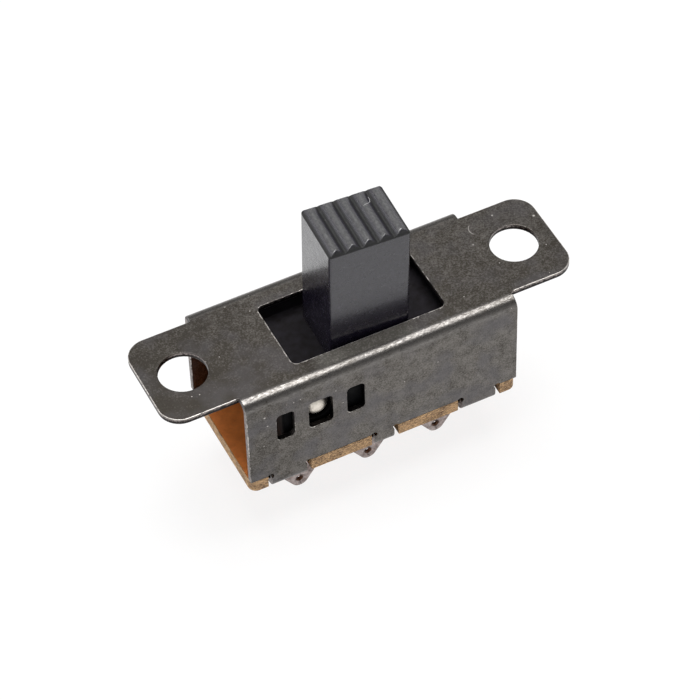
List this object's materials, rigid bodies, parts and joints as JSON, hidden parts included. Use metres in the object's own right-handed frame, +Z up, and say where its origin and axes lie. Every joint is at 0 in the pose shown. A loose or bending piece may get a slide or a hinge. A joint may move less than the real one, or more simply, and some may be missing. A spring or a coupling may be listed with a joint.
{
  "type": "slide switch",
  "caption": "Panel slide switch: folded steel frame with two ears and a solder-lug base board, and a ridged black knob that slides between detents.",
  "frame": {"origin": "on the surface that the lug tips stand on, under the middle of the switch", "axes": "+X along the travel of the knob, +Y across the switch, +Z up through the knob; the detent windows are at -X of the middle"},
  "size_m": [0.0352, 0.011, 0.0258],
  "materials": {
    "frame_steel": "dark passivated zinc plate with a fine speckle, satin, bright along the folds and cut edges",
    "phenolic_board": "orange-brown phenolic laminate, satin face, pale tan cut edges",
    "slider_plastic": "black moulded plastic, glossy with fine scuffs",
    "ball_steel": "polished hard steel",
    "spring_steel": "bright drawn spring wire",
    "contact_bronze": "bright rolled bronze strip",
    "tinned_brass": "brass strip with a soft tin coat"
  },
  "bodies": {
    "housing": {"frame": "frame_steel", "base_board": "phenolic_board", "terminal_near_left": "tinned_brass", "terminal_near_centre": "tinned_brass", "terminal_near_right": "tinned_brass", "terminal_far_left": "tinned_brass", "terminal_far_centre": "tinned_brass", "terminal_far_right": "tinned_brass"},
    "slide": {"slider": "slider_plastic", "detent_ball_near": "ball_steel", "detent_ball_far": "ball_steel", "detent_spring": "spring_steel", "contact_bridge_near": "contact_bronze", "contact_bridge_far": "contact_bronze", "contact_spring_near": "spring_steel", "contact_spring_far": "spring_steel"}
  },
  "joints": [
    {"name": "slider_travel", "type": "slide", "parent": "housing", "child": "slide", "axis": [1, 0, 0], "range_m": [-0.003, 0.00275]}
  ]
}
